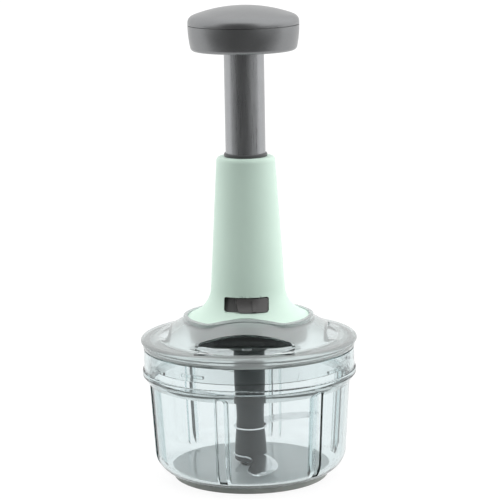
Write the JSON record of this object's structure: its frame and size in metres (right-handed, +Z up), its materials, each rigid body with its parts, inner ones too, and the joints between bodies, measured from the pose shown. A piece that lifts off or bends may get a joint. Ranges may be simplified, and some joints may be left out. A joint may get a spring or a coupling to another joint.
{
  "type": "hand-press food chopper",
  "caption": "Hand-press food chopper: clear bowl, smoked lid with a tapered handle, and a push knob whose twisted rod spins stacked blades.",
  "frame": {"origin": "middle of the underside of the non-slip pad under the bowl, on the axis of the plunger, blades and bowl", "axes": "+Z up along the plunger, -Y towards the side with the lock switch, +X to the right of that side"},
  "size_m": [0.1256, 0.1256, 0.2742],
  "materials": {
    "clear_plastic": "clear gloss",
    "smoked_plastic": "lightly smoked gloss",
    "mint_plastic": "satin",
    "silver_plastic": "metallic satin",
    "tube_metal": "anodised satin",
    "dark_plastic": "satin",
    "hub_plastic": "satin",
    "switch_plastic": "gloss",
    "bearing_plastic": "smooth",
    "blade_steel": "fine brushed",
    "steel": "drawn",
    "seal_rubber": "matte",
    "foot_rubber": "matte"
  },
  "bodies": {
    "bowl": {"bowl": "clear_plastic", "centre_pin": "steel", "base_pad": "foot_rubber"},
    "seal": {"lid_seal": "seal_rubber"},
    "lid": {"lid": "smoked_plastic", "handle_shell": "mint_plastic", "guide_bush": "bearing_plastic", "switch_plate": "switch_plastic", "drive_case": "dark_plastic", "drive_cover": "dark_plastic", "shaft_bush": "bearing_plastic", "housing_screws": "steel", "cover_screws": "steel"},
    "plunger": {"knob_cap": "silver_plastic", "knob_cup": "silver_plastic", "knob_screw": "steel", "plunger_tube": "tube_metal", "drive_nut": "bearing_plastic", "return_spring": "steel"},
    "spindle": {"twist_rod": "steel", "spring_seat": "bearing_plastic", "pawl_carrier": "bearing_plastic", "pawls": "steel", "pawl_springs": "steel", "rod_pin": "steel"},
    "rotor": {"ratchet_cup": "bearing_plastic", "output_shaft": "steel", "blade_hub": "hub_plastic", "upper_blade": "blade_steel", "middle_blade": "blade_steel", "lower_blade": "blade_steel"},
    "switch": {"lock_slider": "switch_plastic", "lock_ring": "bearing_plastic"}
  },
  "joints": [
    {"name": "lid_lift", "type": "slide", "parent": "bowl", "child": "seal", "axis": [0, 0, 1], "range_m": [0, 0.085]},
    {"name": "lid_turn", "type": "hinge", "parent": "seal", "child": "lid", "pos_m": [0, 0, 0.078], "axis": [0, 0, 1], "range_deg": [0, 30]},
    {"name": "plunger_press", "type": "slide", "parent": "lid", "child": "plunger", "axis": [0, 0, -1], "range_m": [0, 0.056], "stiffness_N_per_m": 300, "springref_m": -0.02, "deforming": ["return_spring"]},
    {"name": "spindle_turn", "type": "hinge", "parent": "lid", "child": "spindle", "pos_m": [0, 0, 0.1], "axis": [0, 0, 1], "continuous": true},
    {"name": "blade_spin", "type": "hinge", "parent": "lid", "child": "rotor", "pos_m": [0, 0, 0.08], "axis": [0, 0, 1], "continuous": true},
    {"name": "lock_switch", "type": "hinge", "parent": "lid", "child": "switch", "pos_m": [0, 0, 0.1065], "axis": [0, 0, 1], "range_deg": [-19, 0]}
  ],
  "couplings": [
    {"joint": "spindle_turn", "follows": "plunger_press", "rad_per_m": 114.24},
    {"joint": "blade_spin", "follows": "plunger_press", "rad_per_m": 114.24}
  ]
}
